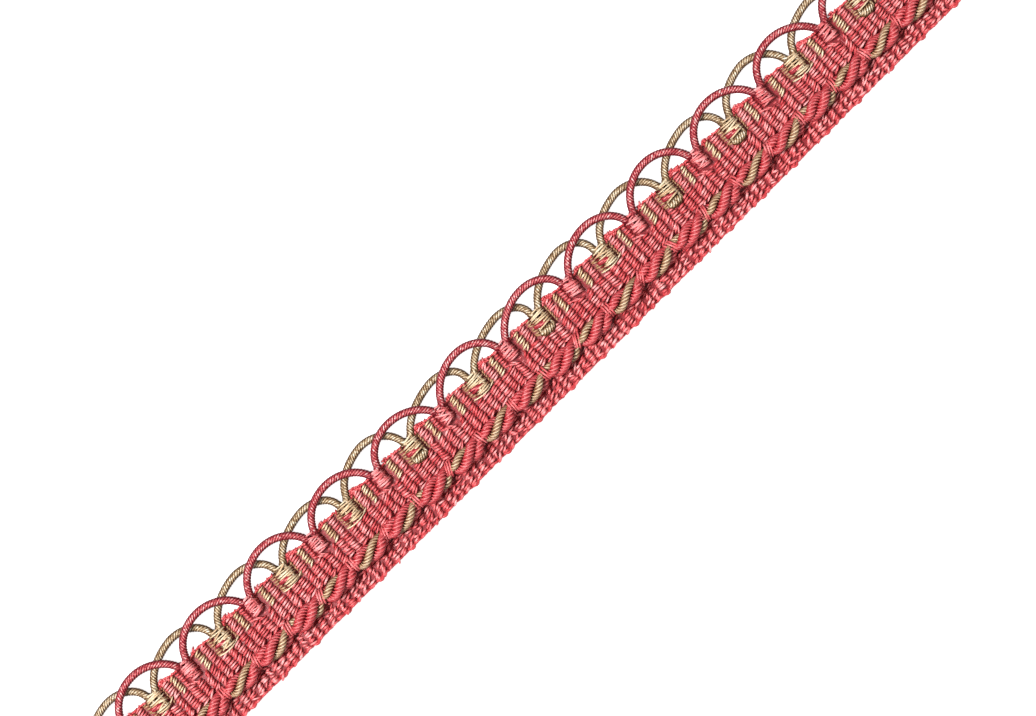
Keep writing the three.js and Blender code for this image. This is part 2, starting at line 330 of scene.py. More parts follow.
def make_float_tree():
    """One bent leaf of thread on every point, turned and stretched by the point's numbers."""
    tree, given = new_tree("thread floats", {
        "Length": (FLOAT, 1.6 * MM), "Radius": (FLOAT, 0.2 * MM), "Rise": (FLOAT, 0.35 * MM),
        "Taper": (FLOAT, 0.5), "Sides": (WHOLE, 6), "Steps": (WHOLE, 8),
        "Unevenness": (FLOAT, 0.13), "Side Shade": (FLOAT, 0.6), "Seed": (WHOLE, 1)})
    half = sum_of(tree, "MULTIPLY", given["Length"], 0.5)
    back = sum_of(tree, "MULTIPLY", half, -1.0)
    crown = sum_of(tree, "MULTIPLY", given["Rise"], 2.0)
    start = put(tree, "ShaderNodeCombineXYZ", {"X": back}).outputs[0]
    middle = put(tree, "ShaderNodeCombineXYZ", {"Z": crown}).outputs[0]
    end = put(tree, "ShaderNodeCombineXYZ", {"X": half}).outputs[0]
    leaf = put(tree, "GeometryNodeCurveQuadraticBezier", {
        "Resolution": given["Steps"], "Start": start, "Middle": middle, "End": end}).outputs[0]
    factor = put(tree, "GeometryNodeSplineParameter").outputs["Factor"]
    past_crown = sum_of(tree, "MULTIPLY_ADD", factor, 2.0, -2.0 * CROWN_PLACE)
    depth = sum_of(tree, "MULTIPLY", past_crown, past_crown)
    width = sum_of(tree, "SUBTRACT", 1.0, sum_of(tree, "MULTIPLY", depth, given["Taper"]))
    ring = put(tree, "GeometryNodeCurvePrimitiveCircle", {
        "Resolution": given["Sides"], "Radius": given["Radius"]}).outputs[0]
    # Painted shade: the ends of each float, where it dives into the weave, are darkened.
    shaded_ends = sum_of(tree, "MULTIPLY_ADD", depth, -END_SHADE, 1.0)
    leaf = keep(tree, leaf, "painted_light", shaded_ends)
    thread = put(tree, "GeometryNodeCurveToMesh", {
        "Curve": leaf, "Profile Curve": ring, "Scale": width, "Fill Caps": True}).outputs[0]

    def unevenly(name):
        """A number that the point carries, made a little different for each float."""
        seed = sum_of(tree, "ADD", given["Seed"], UNEVEN[name]["seed"])
        span = sum_of(tree, "MULTIPLY", given["Unevenness"], UNEVEN[name]["reach"])
        node = put(tree, "FunctionNodeRandomValue", data_type="FLOAT")
        tree.links.new(seed, node.inputs["Seed"])
        tree.links.new(span, node.inputs[3])
        tree.links.new(sum_of(tree, "MULTIPLY", span, -1.0), node.inputs[2])
        return sum_of(tree, "ADD", carried(tree, name), node.outputs[1])

    turn = put(tree, "ShaderNodeCombineXYZ", {
        "X": carried(tree, "roll"), "Z": unevenly("lean")}).outputs[0]
    rotation = put(tree, "FunctionNodeEulerToRotation", {0: turn}).outputs[0]
    reach, girth = unevenly("reach"), unevenly("girth")
    size = put(tree, "ShaderNodeCombineXYZ", {"X": reach, "Y": girth, "Z": girth}).outputs[0]
    placed = put(tree, "GeometryNodeInstanceOnPoints", {
        "Points": given["Host"], "Instance": thread, "Rotation": rotation,
        "Scale": size}).outputs[0]
    placed = keep(tree, placed, "tone", unevenly("tone"), "INSTANCE")
    end_tree(tree, placed, given, height_of(tree, "GeometryNodeInputNormal"))
    return tree


float_tree = make_float_tree()
print("tree for floats has", len(float_tree.nodes), "nodes")

# %% [markdown]
# A cord is different: it is long, and threads are wound round it side by side. Winding separate
# threads would cost many faces. Instead the cord's outline is a ring of lobes, one for each
# thread, and the curve is twisted as the outline runs along it, so the edges of the mesh follow
# the threads. With one lobe and no groove the same tree makes a plain strand.

# %% Tree for wound cords and strands
GROOVE_SHADE_GAIN = 6.0


def make_cord_tree():
    """A lobed outline swept along each line of the host, with the curve twisted under it."""
    tree, given = new_tree("wound cord", {
        "Radius": (FLOAT, 0.475 * MM), "Threads": (WHOLE, 6), "Points": (WHOLE, 4),
        "Groove": (FLOAT, 0.15), "Lead": (FLOAT, 2.5 * MM), "Step": (FLOAT, 0.12 * MM),
        "Side Shade": (FLOAT, 0.7)})
    line = put(tree, "GeometryNodeMeshToCurve", {0: given["Host"]}).outputs[0]
    even = put(tree, "GeometryNodeResampleCurve", {
        "Curve": line, "Length": given["Step"]}, mode="LENGTH").outputs[0]
    length = put(tree, "GeometryNodeSplineParameter").outputs["Length"]
    turns = sum_of(tree, "DIVIDE", length, given["Lead"])
    twist = sum_of(tree, "MULTIPLY", turns, 2 * math.pi)
    wound = put(tree, "GeometryNodeSetCurveTilt", {"Curve": even, "Tilt": twist}).outputs[0]
    height = height_of(tree, "GeometryNodeInputPosition")
    wound = keep(tree, wound, "centre", height)
    corners = sum_of(tree, "MULTIPLY", given["Threads"], given["Points"])
    ring = put(tree, "GeometryNodeCurvePrimitiveCircle", {
        "Resolution": corners, "Radius": 1.0}).outputs[0]
    index = put(tree, "GeometryNodeInputIndex").outputs[0]
    share = sum_of(tree, "FRACT", sum_of(tree, "DIVIDE", index, given["Points"]))
    across = sum_of(tree, "MULTIPLY_ADD", share, 2.0, -1.0)
    squared = sum_of(tree, "MULTIPLY", across, across)
    hump = sum_of(tree, "SQRT", sum_of(tree, "SUBTRACT", 1.0, squared))
    dip = sum_of(tree, "MULTIPLY", sum_of(tree, "SUBTRACT", 1.0, hump), given["Groove"])
    reach = sum_of(tree, "MULTIPLY", given["Radius"], sum_of(tree, "SUBTRACT", 1.0, dip))
    place = put(tree, "GeometryNodeInputPosition").outputs[0]
    lobed = put(tree, "ShaderNodeVectorMath", {0: place, "Scale": reach}, operation="SCALE")
    ring = put(tree, "GeometryNodeSetPosition", {
        "Geometry": ring, "Position": lobed.outputs[0]}).outputs[0]
    # Painted shade: the grooves between the wound threads are darkened towards the groove shade.
    depth = sum_of(tree, "MINIMUM", 1.0, sum_of(tree, "MULTIPLY", dip, GROOVE_SHADE_GAIN))
    ring = keep(tree, ring, "painted_light", sum_of(tree, "SUBTRACT", 1.0, depth))
    cord = put(tree, "GeometryNodeCurveToMesh", {
        "Curve": wound, "Profile Curve": ring, "Scale": carried(tree, "thick"),
        "Fill Caps": True}).outputs[0]
    above = sum_of(tree, "SUBTRACT", height, carried(tree, "centre"))
    radius = sum_of(tree, "MULTIPLY", given["Radius"], carried(tree, "thick"))
    end_tree(tree, cord, given, sum_of(tree, "DIVIDE", above, radius))
    return tree


cord_tree = make_cord_tree()
print("tree for cords has", len(cord_tree.nodes), "nodes")

# %% [markdown]
# A host mesh holds only points and numbers, and a tree turns them into thread. The modifier could
# stay live on the host, but a finished piece has to be a plain mesh at the origin. So the helper
# below runs a tree once, copies what it made and throws the host away. Two more helpers write the
# hosts: points for floats, and open lines for cords and strands.

# %% Run a tree and keep the result
made_triangles = {}


def grow(name, host_mesh, tree, thread, sizes):
    """Runs a tree over a host mesh, and keeps the result as a plain mesh at the origin."""
    host = bpy.data.objects.new(name + "_host", host_mesh)
    bpy.context.scene.collection.objects.link(host)
    modifier = host.modifiers.new("grow", "NODES")
    modifier.node_group = tree
    values = {**sizes, "Thread": thread}
    for item in tree.interface.items_tree:
        if item.in_out == "INPUT" and item.name in values:
            modifier[item.identifier] = values[item.name]
    graph = bpy.context.evaluated_depsgraph_get()
    mesh = bpy.data.meshes.new_from_object(
        host.evaluated_get(graph), preserve_all_data_layers=True, depsgraph=graph)
    mesh.name = name
    bpy.data.objects.remove(host)
    piece = bpy.data.objects.new(name, mesh)
    bpy.context.scene.collection.objects.link(piece)
    made_triangles[name] = sum(len(face.vertices) - 2 for face in mesh.polygons)
    print(name, made_triangles[name], "triangles")


def finish_piece(piece, slot, *nodes):
    """Sets what the piece rides on and hides the CAD nodes that it stands for; the finish slot is
    not used.
    """
    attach(piece, BODY)
    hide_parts(*nodes)


# %% Hosts
def float_host(name, floats):
    """Points that carry the numbers for one float each."""
    mesh = bpy.data.meshes.new(name)
    mesh.from_pydata([[MM * value for value in item["at"]] for item in floats], [], [])
    for key, usual in (("lean", 0.0), ("roll", 0.0), ("reach", 1.0), ("girth", 1.0), ("tone", 0.0)):
        values = [item.get(key, usual) for item in floats]
        mesh.attributes.new(key, "FLOAT", "POINT").data.foreach_set("value", values)
    return mesh


def line_host(name, lines):
    """Open lines of points. Each line has points, and may have thickness by point and a tone."""
    vertices, edges, thick, tone = [], [], [], []
    for line in lines:
        start = len(vertices)
        vertices += [[MM * value for value in point] for point in line["points"]]
        edges += [(at, at + 1) for at in range(start, len(vertices) - 1)]
        thick += line.get("thick", [1.0] * len(line["points"]))
        tone += [line.get("tone", 0.0)] * len(line["points"])
    mesh = bpy.data.meshes.new(name)
    mesh.from_pydata(vertices, edges, [])
    mesh.attributes.new("thick", "FLOAT", "POINT").data.foreach_set("value", thick)
    mesh.attributes.new("tone", "FLOAT", "POINT").data.foreach_set("value", tone)
    return mesh


# %% [markdown]
# ## The woven ground
#
# The weave is a rep: thick cross ribs, ten to a repeat, hidden under thin warp threads that run
# along the braid. Under the floats lies a closed slab with a ridge for each rib, so that no light
# passes and the dark lines between ribs are real hollows; the slab's colour is darkened as well, as
# painted shade. A grid with a texture could do it, but the section changes across the width, so the
# slab is lofted: one outline, set at every station.

# %% Places across the braid
REPEATS = 14
PITCH = LENGTH / REPEATS
RIBS_IN_REPEAT = 10
RIB_PITCH = PITCH / RIBS_IN_REPEAT
ROW_PITCH = 0.43
FIRST_ROSE_KNOT_X = -LENGTH / 2 + PITCH / 4
SAND_KNOT_OFFSET = PITCH / 2 + 0.2
FIRST_RIB_OFFSET = 1.07
LOOP_EDGE_Y = 3.7
REP_TOP_Y = 0.5
REP_END_Y = -2.65
FOOT_TOP_Y = -5.75
FOOT_EDGE_Y = -7.65
CORD_Y = -4.05


def rose_knot_x(repeat):
    """The middle of a rose knot, counted from the first one on the braid."""
    return FIRST_ROSE_KNOT_X + repeat * PITCH


def sand_knot_x(repeat):
    """The middle of the sand knot that follows a rose knot."""
    return rose_knot_x(repeat) + SAND_KNOT_OFFSET


def rib_x(rib):
    """The middle of a rib, counted from the first one after the first rose knot."""
    return FIRST_ROSE_KNOT_X + FIRST_RIB_OFFSET + rib * RIB_PITCH


first_rib = math.ceil((-LENGTH / 2 - rib_x(0)) / RIB_PITCH + 0.25)
last_rib = math.floor((LENGTH / 2 - rib_x(0)) / RIB_PITCH - 0.25)
ribs = range(first_rib, last_rib + 1)
print(len(ribs), "ribs,", round(RIB_PITCH, 3), "mm apart")

# %% Section of the slab
SLAB_UNDERSIDE = 0.3
STATIONS_IN_RIB = 4
SLAB_SECTION = [
    {"y": FOOT_EDGE_Y, "top": 0.42, "ridge": 0.0},
    {"y": FOOT_EDGE_Y + 0.1, "top": 0.56, "ridge": 0.0},
    {"y": FOOT_EDGE_Y + 0.5, "top": 0.6, "ridge": 0.0},
    {"y": FOOT_TOP_Y - 0.35, "top": 0.6, "ridge": 0.0},
    {"y": FOOT_TOP_Y - 0.05, "top": 0.56, "ridge": 0.0},
    {"y": CORD_Y - 1.3, "top": 0.42, "ridge": 0.0},
    {"y": CORD_Y, "top": 0.4, "ridge": 0.0},
    {"y": CORD_Y + 1.2, "top": 0.42, "ridge": 0.02},
    {"y": REP_END_Y, "top": 0.46, "ridge": 0.16},
    {"y": REP_END_Y + 0.4, "top": 0.46, "ridge": 0.2},
    {"y": REP_TOP_Y, "top": 0.46, "ridge": 0.2},
    {"y": REP_TOP_Y + 0.4, "top": 0.46, "ridge": 0.16},
    {"y": LOOP_EDGE_Y - 0.4, "top": 0.46, "ridge": 0.16},
    {"y": LOOP_EDGE_Y - 0.1, "top": 0.46, "ridge": 0.1},
    {"y": LOOP_EDGE_Y, "top": 0.4, "ridge": 0.0},
]
LEG_BED_HALF_WIDTH = 1.5
LEG_BED_SLOPE = 0.3
LEG_BED_TOP = 0.42
# The slab's low tone and low lit share paint the shade of the ground seen between floats.
SLAB_SHADE_TONE = -0.9
SLAB_PAINTED_LIGHT = 0.25
print("slab section has", len(SLAB_SECTION), "places from foot to loop edge")


# %% Slab under the floats
def under_a_knot(x, y):
    """How far a place lies inside the hollow that holds the legs of a loop cord, from 0 to 1."""
    if y < REP_TOP_Y:
        return 0.0
    nearest = PITCH
    for first in (rose_knot_x(0), sand_knot_x(0)):
        away = (x - first + PITCH / 2) % PITCH - PITCH / 2
        nearest = min(nearest, abs(away))
    return max(0.0, min(1.0, (LEG_BED_HALF_WIDTH - nearest) / LEG_BED_SLOPE))


def slab_top(x, place):
    """The height of the slab: a ridge for each rib, pressed flat under the knots."""
    phase = (x - rib_x(0)) / RIB_PITCH
    ridge = place["top"] + place["ridge"] * (0.5 + 0.5 * math.cos(2 * math.pi * phase))
    bed = under_a_knot(x, place["y"])
    return ridge * (1 - bed) + min(ridge, LEG_BED_TOP) * bed


def woven_slab():
    """The slab as one closed mesh, lofted along the braid."""
    steps = round(LENGTH / RIB_PITCH) * STATIONS_IN_RIB
    vertices, faces = [], []
    around = 2 * len(SLAB_SECTION)
    for step in range(steps + 1):
        x = -LENGTH / 2 + LENGTH * step / steps
        tops = [(x, place["y"], slab_top(x, place)) for place in SLAB_SECTION]
        bottoms = [(x, place["y"], SLAB_UNDERSIDE) for place in reversed(SLAB_SECTION)]
        vertices += [[MM * value for value in point] for point in tops + bottoms]
    for step in range(steps):
        for corner in range(around):
            here, there = step * around, (step + 1) * around
            after = (corner + 1) % around
            faces.append((here + corner, here + after, there + after, there + corner))
    faces.append(tuple(range(around - 1, -1, -1)))
    faces.append(tuple(steps * around + corner for corner in range(around)))
    mesh = bpy.data.meshes.new("woven_ground")
    mesh.from_pydata(vertices, [], [face[::-1] for face in faces])
    for key, value in (("tone", SLAB_SHADE_TONE), ("painted_light", SLAB_PAINTED_LIGHT)):
        values = [value] * len(vertices)
        mesh.attributes.new(key, "FLOAT", "POINT").data.foreach_set("value", values)
    mesh.materials.append(rose_ground_shade)
    slab = bpy.data.objects.new("woven_ground", mesh)
    bpy.context.scene.collection.objects.link(slab)
    made_triangles["woven_ground"] = sum(len(face.vertices) - 2 for face in mesh.polygons)
    print("woven_ground", made_triangles["woven_ground"], "triangles")
    return slab


woven_ground = woven_slab()

# %% [markdown]
# The floats of the plain part come next. Each warp thread shows over every second rib, and its
# neighbours show over the ribs between, so the rows of one rib stand half a row above those of the
# next. The thread is twisted as it is woven, and every float leans a little. Under a rose knot the
# warp is drawn up into the knot, so the first rows of the two ribs there are parted and lie in
# shade, and their colour is darkened as painted shade. The last row of each rib slants down towards
# the twisted cord. No two floats are quite alike, and fixed seeds keep them the same in each run.

# %% Floats of the ribbed part
REP_FLOAT_Z = 0.42
REP_ROWS = 8
REP_LEAN = 12
REP_LEAN_SPREAD = 12
LAST_FLOAT = {"lift": 0.16, "lean": 14, "reach": 1.15, "tone": 0.3}
PARTED_RIBS = {0: 0.25, 9: -0.08}
PARTED_ROWS = 2
PARTED_SHRINK = 0.8
# Painted shade on the parted rows, which lie in shade under the knot.
PARTED_PAINTED_SHADE = 2.8
wander = random.Random(4)


def rep_floats():
    """Floats over every rib, from the strip beside the loops down to the twisted cord."""
    floats = []
    for rib in ribs:
        sway, tone = wander.uniform(-0.06, 0.06), wander.uniform(-0.2, 0.2)
        lean = math.radians(wander.gauss(REP_LEAN, REP_LEAN_SPREAD))
        for row in range(REP_ROWS):
            y = REP_TOP_Y - 0.1 - (row + 0.5 * (rib % 2)) * ROW_PITCH
            if y < REP_END_Y - 0.02:
                continue
            last = y < REP_END_Y + 0.35
            parted = PARTED_RIBS.get(rib % RIBS_IN_REPEAT, 0.0) if row < PARTED_ROWS else 0.0
            floats.append({
                "at": (rib_x(rib) + sway + parted + wander.uniform(-0.06, 0.06),
                       y + wander.uniform(-0.05, 0.05),
                       REP_FLOAT_Z + (LAST_FLOAT["lift"] if last else 0.0)),
                "lean": lean + math.radians(LAST_FLOAT["lean"] if last else 0) + parted,
                "reach": LAST_FLOAT["reach"] if last else 1 - PARTED_SHRINK * abs(parted),
                "tone": tone + (LAST_FLOAT["tone"] if last else -PARTED_PAINTED_SHADE * abs(parted))})
    return floats


WEAVE_SIZES = {"Length": 1.34 * MM, "Radius": 0.172 * MM, "Rise": 0.58 * MM, "Taper": 0.42}
grow(
    "ribbed_floats", float_host("ribbed floats", rep_floats()), float_tree, rose,
    {**WEAVE_SIZES, "Unevenness": 0.2, "Seed": 3})

# %% [markdown]
# In the strip beside the loops the same ribs carry floats of both yarns. A short table says which
# yarn covers which rib of a repeat, and how its floats lean. The ribs it leaves out are hidden
# under the knots. The lowest float is the palest on the two ribs that are all sand.

# %% Floats of the strip beside the loops
# The dark tones of ribs 3, 5 and 8, which lie low beside the knots, are painted shade.
STRIP_RIBS = [
    {"rib": 1, "yarn": "sand", "shift": 0.0, "reach": 0.95, "lean": 22, "tone": 0.1, "z": 0.42},
    {"rib": 2, "yarn": "rose", "shift": 0.0, "reach": 0.95, "lean": 12, "tone": 0.3, "z": 0.42},
    {"rib": 3, "yarn": "sand", "shift": -0.05, "reach": 0.9, "lean": -8, "tone": -1.3, "z": 0.26},
    {"rib": 5, "yarn": "sand", "shift": 0.58, "reach": 0.5, "lean": 50, "tone": -1.5, "z": 0.1},
    {"rib": 6, "yarn": "rose", "shift": 0.15, "reach": 1.05, "lean": 16, "tone": 0.5, "z": 0.42},
    {"rib": 7, "yarn": "sand", "shift": 0.12, "reach": 0.85, "lean": 24, "tone": 0.2, "z": 0.4},
    {"rib": 8, "yarn": "rose", "shift": -0.16, "reach": 0.7, "lean": -4, "tone": -0.5, "z": 0.26},
]
STRIP_ROWS = 7
PALE_ENDED_RIBS = (1, 7)
PALE_END_TONE = 0.8
STRIP_TOP_Y = LOOP_EDGE_Y - 0.14


def strip_floats(yarn):
    """The floats of one yarn over the ribs between the knots."""
    floats = []
    for repeat in range(-1, REPEATS + 1):
        for column in STRIP_RIBS:
            x = rib_x(repeat * RIBS_IN_REPEAT + column["rib"]) + column["shift"]
            if column["yarn"] != yarn or abs(x) > LENGTH / 2 - 0.35:
                continue
            pale = yarn == "sand" and column["rib"] in PALE_ENDED_RIBS
            for row in range(STRIP_ROWS):
                y = STRIP_TOP_Y - (row + 0.5 * (column["rib"] % 2)) * ROW_PITCH
                floats.append({
                    "at": (x + wander.uniform(-0.06, 0.06), y + wander.uniform(-0.04, 0.04),
                           column["z"]),
                    "lean": math.radians(column["lean"] + wander.gauss(0, 8)),
                    "reach": column["reach"],
                    "tone": column["tone"] + (
                        PALE_END_TONE if pale and row == STRIP_ROWS - 1 else 0.0)})
    return floats


grow(
    "rose_strip_floats", float_host("rose strip", strip_floats("rose")), float_tree, rose,
    {**WEAVE_SIZES, "Radius": 0.163 * MM, "Seed": 5})
grow(
    "sand_strip_floats", float_host("sand strip", strip_floats("sand")), float_tree, sand,
    {**WEAVE_SIZES, "Radius": 0.148 * MM, "Seed": 6})

# %% [markdown]
# The foot is a loose plain weave: short thick strokes in ten columns to a repeat, which lean either
# way and do not line up. The two rows nearest the twisted cord lie low in its shade, and their
# colour is darkened further as painted shade; the strokes at the very edge are dark. Straight rows
# would look knitted, so place, length and girth all wander.

# %% Floats of the foot
FOOT_ROWS = 7
LOW_FOOT_ROWS = 2
FOOT_ROW_PITCH = 0.4
FOOT_FLOAT_Z = 0.42
FOOT_COLUMNS_IN_REPEAT = 10
FOOT_COLUMNS = REPEATS * FOOT_COLUMNS_IN_REPEAT
FOOT_COLUMN_PITCH = PITCH / FOOT_COLUMNS_IN_REPEAT
FOOT_LEAN = 13
FOOT_LEAN_SPREAD = 6
LOW_FOOT_Z = 0.2
# Painted shade on the two low rows, in the shade of the twisted cord.
LOW_FOOT_PAINTED_SHADE = 0.3
EDGE_FOOT_DIMMING = 1.0


def foot_floats():
    """Floats of the foot, column by column."""
    floats = []
    for column in range(FOOT_COLUMNS):
        lean = wander.gauss(FOOT_LEAN, FOOT_LEAN_SPREAD)
        for row in range(FOOT_ROWS):
            x = -LENGTH / 2 + (column + 0.5 + 0.1 * (row % 2)) * FOOT_COLUMN_PITCH
            if x > LENGTH / 2 - 0.4:
                continue
            y = FOOT_TOP_Y - 0.1 - (row - LOW_FOOT_ROWS + 0.5 * (column % 2)) * FOOT_ROW_PITCH
            low = row < LOW_FOOT_ROWS
            at_edge = y < FOOT_EDGE_Y + 0.1
            dimming = LOW_FOOT_PAINTED_SHADE if low else EDGE_FOOT_DIMMING if at_edge else 0.0
            floats.append({
                "at": (x + wander.uniform(-0.2, 0.2), y + wander.uniform(-0.09, 0.09),
                       (LOW_FOOT_Z if low else FOOT_FLOAT_Z) + wander.uniform(-0.06, 0.1)),
                "lean": math.radians(lean + wander.gauss(0, 15)),
                "reach": wander.uniform(0.8, 1.15), "girth": wander.uniform(0.85, 1.25),
                "tone": wander.uniform(-0.4, 0.7) - dimming})
    return floats


grow(
    "foot_floats", float_host("foot floats", foot_floats()), float_tree, rose,
    {**WEAVE_SIZES, "Length": 1.25 * MM, "Radius": 0.175 * MM, "Rise": 0.55 * MM, "Seed": 8})

# %% [markdown]
# ## The loop cords
#
# A gimp cord is a cotton core with silky thread wound round it. Each of the two is one long cord
# that dives under a knot, turns, comes back up and springs out as the next loop. The cords could
# be separate arcs, but one continuous route keeps the winding unbroken as it is on the real cord.

# %% Sizes of the loop cords
LOOP_CORD_RADIUS = 0.6
LEG_HALF_SPACING = 0.54
LEG_THICK = 0.76
LEG_Z = 0.92
CREST_RISE = 3.68
TURN_POINTS = 10
# The turn's middle, its half width and depth, and how thick the cord is at its ends and middle.
TURNS = {
    "hidden": {"x": 0.0, "y": 1.5, "z": LEG_Z, "half": LEG_HALF_SPACING, "deep": 0.5,
               "end": LEG_THICK, "thick": 0.8},
    "crossed": {"x": -0.15, "y": 1.2, "z": 0.98, "half": 0.7, "deep": 0.55,
                "end": LEG_THICK, "thick": 0.9},
    "bobble": {"x": -0.4, "y": 0.58, "z": 0.98, "half": 1.15, "deep": 0.14,
               "end": 0.4, "thick": 1.3},
}
SAND_TURNS = ["crossed"] * 5 + ["bobble", "crossed", "bobble", "crossed", "bobble", "bobble",
                                "crossed", "bobble", "crossed"]
# Each arch is two cubic curves through seven pulls: x from the knot, share of the rise, and z.
LOOPS = {
    "rose": {
        "first_x": rose_knot_x(0), "turns": ["hidden"] * REPEATS,
        "crest_shift": (0, 0, 0, 0.2, 0.1, -0.3, 0.6, 0.8, 0.5, 0.2, -0.15, -0.5, 0, 0),
        "crest_lift": (0, 0.1, 0, 0.1, -0.1, -0.2, 0.1, -0.1, -0.1, 0.3, 0.1, 0.1, 0, 0),
        "arch": [
            {"x": 0.8, "rise": 0.03, "z": 1.2},
            {"x": 1.5, "rise": 0.56, "z": 1.95},
            {"x": 3.7, "rise": 1, "z": 1.9},
            {"x": 6.43, "rise": 1, "z": 1.85},
            {"x": 9.15, "rise": 1, "z": 1.9},
            {"x": 11.35, "rise": 0.56, "z": 1.95},
            {"x": 12.05, "rise": 0.03, "z": 1.2},
        ],
    },
    "sand": {
        "first_x": sand_knot_x(0), "turns": SAND_TURNS,
        "crest_shift": (0, 0, 0, 0.3, -0.1, 0.7, 0.8, 0.7, -0.2, 0.4, -0.35, -0.1, 0, 0),
        "crest_lift": (0, 0, 0, -0.3, 0.3, -0.3, -0.3, 0.1, 0.1, 0, 0.4, 0.1, 0, 0),
        "arch": [
            {"x": 0.75, "rise": 0.03, "z": 1.05},
            {"x": 1.6, "rise": 0.55, "z": 0.64},
            {"x": 4.2, "rise": 0.93, "z": 0.64},
            {"x": 7.3, "rise": 1.0, "z": 0.68},
            {"x": 10.0, "rise": 1.0, "z": 0.64},
            {"x": 11.9, "rise": 0.58, "z": 0.64},
            {"x": 12.1, "rise": 0.03, "z": 1.05},
        ],
    },
}
print(SAND_TURNS.count("bobble"), "of", REPEATS, "sand knots show a bobble")


# %% Route of a loop cord
def bezier(points, steps):
    """Points on a cubic curve, without its first."""
    found = []
    for step in range(1, steps + 1):
        t = step / steps
        weights = ((1 - t) ** 3, 3 * t * (1 - t) ** 2, 3 * t * t * (1 - t), t ** 3)
        found.append([sum(w * p[axis] for w, p in zip(weights, points)) for axis in range(3)])
    return found


def turn_under_knot(x, turn):
    """Down one leg, round and up the other under a knot centred at x, with thickness."""
    points = [(x - LEG_HALF_SPACING, LOOP_EDGE_Y, LEG_Z, 1.0),
              (x - LEG_HALF_SPACING, LOOP_EDGE_Y - 0.6, LEG_Z, LEG_THICK)]
    for step in range(TURN_POINTS + 1):
        angle = math.pi * (1 + step / TURN_POINTS)
        swell = turn["end"] - (turn["thick"] - turn["end"]) * math.sin(angle)
        points.append((x + turn["x"] + turn["half"] * math.cos(angle),
                       turn["y"] + turn["deep"] * (1 + math.sin(angle)), turn["z"], swell))
    points += [(x + LEG_HALF_SPACING, LOOP_EDGE_Y - 0.6, LEG_Z, LEG_THICK),
               (x + LEG_HALF_SPACING, LOOP_EDGE_Y, LEG_Z, 1.0)]
    return points


def loop_route(loop):
    """The whole route of a loop cord, as points of x, y, z and thickness."""
    points = []
    for repeat in range(REPEATS):
        x = loop["first_x"] + repeat * PITCH
        points += turn_under_knot(x, TURNS[loop["turns"][repeat]])
        if repeat == REPEATS - 1:
            break
        height = CREST_RISE + loop["crest_lift"][repeat]
        pulls = []
        for row in loop["arch"]:
            inner = loop["crest_shift"][repeat] * min(1.0, row["rise"])
            pulls.append((x + row["x"] + inner, LOOP_EDGE_Y + row["rise"] * height, row["z"]))
        points.append((*pulls[0], 1.0))
        points += [(*place, 1.0) for place in bezier(pulls[:4], 16) + bezier(pulls[3:], 16)]
    return points


def route_length(points):
    """How long a cord is along its route."""
    return sum(math.dist(a, b) for a, b in zip(points, points[1:]))


# %% Wind the loop cords
# The strong side shade paints dark shaded edges onto the loop cords.
LOOP_SIZES = {
    "Radius": LOOP_CORD_RADIUS * MM, "Threads": 6, "Points": 4, "Groove": 0.3,
    "Lead": -2.6 * MM, "Step": 0.14 * MM, "Side Shade": 2.5}
for yarn, thread in (("rose", rose_gimp), ("sand", sand_gimp)):
    route = loop_route(LOOPS[yarn])
    places, thick = [place[:3] for place in route], [place[3] for place in route]
    host = line_host(yarn + " loop", [{"points": places, "thick": thick}])
    grow(yarn + "_loop_cord", host, cord_tree, thread, LOOP_SIZES)
    print(yarn, "loop cord is", round(route_length(places)), "mm long")

# %% [markdown]
# ## The twisted cord
#
# Three gimp plies, two rose and one sand, are laid together and make three turns in every two
# repeats. Tie threads pull the cord down twice a repeat, and there it is thinner. Each ply is
# wound the other way from its own lay. A helix drawn in code gives the three routes, and the
# cord tree winds the threads on them.

# %% Plies
LAY_LENGTH = PITCH * 2 / 3
PLY_OFFSET = 0.8
PLY_RADIUS = 0.74
SAND_PLY_SHARE = 0.8
SAND_PLY_TONE = 0.4
ROSE_PLY_TONE = 0.05
SAND_ON_TOP_X = 3.1
CORD_BED_Z = 0.42
TIES_FROM_KNOT = (1.29, 7.71)
TIE_PINCH = 0.42
TIE_PINCH_REACH = 0.95
TIE_SHIFT = 0.45
PLY_THINNING = 0.7
ties = sorted(rose_knot_x(repeat) + offset
              for repeat in range(-1, REPEATS + 1) for offset in TIES_FROM_KNOT)
ties = [x for x in ties if abs(x) < LENGTH / 2 - 0.8]


def pinch(x):
    """1 at a tie, falling to 0 between ties."""
    return max(math.exp(-((x - tie) / TIE_PINCH_REACH) ** 2) for tie in ties)


def ply_line(ply):
    """The helix of one ply, drawn in and thinned at every tie."""
    points, thick = [], []
    steps = round(LENGTH / 0.25)
    for step in range(steps + 1):
        x = -LENGTH / 2 + LENGTH * step / steps
        drawn_in = 1 - TIE_PINCH * pinch(x)
        angle = math.pi / 2 - 2 * math.pi * (x - SAND_ON_TOP_X) / LAY_LENGTH
        angle += 2 * math.pi * ply / 3
        centre_y = CORD_Y + TIE_SHIFT * pinch(x)
        centre_z = CORD_BED_Z + (PLY_OFFSET + PLY_RADIUS) * drawn_in
        points.append((x, centre_y + PLY_OFFSET * drawn_in * math.cos(angle),
                       centre_z + PLY_OFFSET * drawn_in * math.sin(angle)))
        thick.append((SAND_PLY_SHARE if ply == 0 else 1.0) * (
            1 - PLY_THINNING * TIE_PINCH * pinch(x)))
    return {"points": points, "thick": thick, "tone": SAND_PLY_TONE if ply == 0 else ROSE_PLY_TONE}


